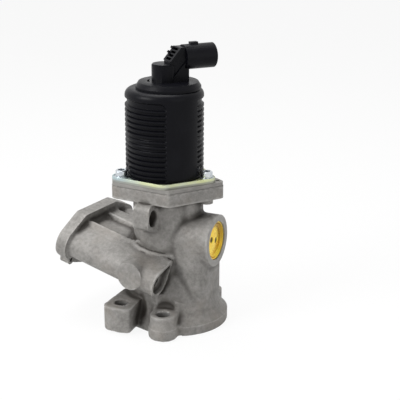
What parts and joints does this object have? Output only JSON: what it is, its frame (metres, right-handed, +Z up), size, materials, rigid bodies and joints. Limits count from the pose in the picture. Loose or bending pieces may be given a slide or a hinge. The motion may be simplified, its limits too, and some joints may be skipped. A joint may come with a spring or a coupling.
{
  "type": "exhaust gas recirculation valve",
  "caption": "Exhaust gas valve: cast housing with slanted inlet arm and round base, ribbed solenoid cover, travel sensor with round plug socket.",
  "frame": {"origin": "centre of the outlet bore in the base face", "axes": "+Z up along the valve stem, +X towards the plugged side port, the inlet arm points to -X"},
  "size_m": [0.1042, 0.0862, 0.1763],
  "materials": {
    "cast_aluminium": "as cast, rough, warm grey",
    "yellow_plug": "bright golden passivated",
    "hard_steel": "ground",
    "bronze": "machined",
    "seal_ptfe": "smooth, off white",
    "pressed_steel": "pressed",
    "soft_iron": "turned",
    "spring_steel": "drawn",
    "grey_spacer": "smooth",
    "yellow_zinc": "yellow green passivated zinc",
    "bright_zinc": "bright zinc plated",
    "brass_tube": "drawn",
    "bobbin_plastic": "moulded",
    "copper_wire": "enamelled",
    "black_plastic": "moulded, satin",
    "seal_rubber": "moulded",
    "tin_brass": "tinned",
    "circuit_board": "lacquered",
    "white_plastic": "moulded"
  },
  "bodies": {
    "valve_body": {"housing": "cast_aluminium", "core_plug": "yellow_plug", "valve_seat": "hard_steel", "guide_bush": "bronze", "stem_seal": "seal_ptfe", "seal_cup": "pressed_steel", "spacer_plate": "grey_spacer", "mount_plate": "yellow_zinc", "flange_screws": "bright_zinc", "guide_tube": "brass_tube", "lower_pole": "soft_iron", "upper_pole": "soft_iron", "yoke": "soft_iron", "coil_bobbin": "bobbin_plastic", "coil_winding": "copper_wire", "return_spring": "spring_steel", "solenoid_cover": "black_plastic", "cap_seal": "seal_rubber", "sensor_cap": "black_plastic", "terminals": "tin_brass", "sensor_board": "circuit_board", "sensor_spring": "spring_steel"},
    "valve": {"valve_stem": "hard_steel", "valve_head": "hard_steel", "armature": "soft_iron", "spring_washer": "pressed_steel", "stem_clip": "spring_steel"},
    "sensor": {"sensor_slider": "white_plastic", "wiper": "tin_brass"}
  },
  "joints": [
    {"name": "valve_lift", "type": "slide", "parent": "valve_body", "child": "valve", "axis": [0, 0, 1], "range_m": [0, 0.005], "stiffness_N_per_m": 3000, "springref_m": -0.006, "deforming": ["return_spring"]},
    {"name": "sensor_travel", "type": "slide", "parent": "valve_body", "child": "sensor", "axis": [0, 0, 1], "range_m": [0, 0.005], "stiffness_N_per_m": 60, "springref_m": -0.004, "deforming": ["sensor_spring"]}
  ],
  "couplings": [
    {"joint": "sensor_travel", "follows": "valve_lift", "ratio": 1}
  ]
}
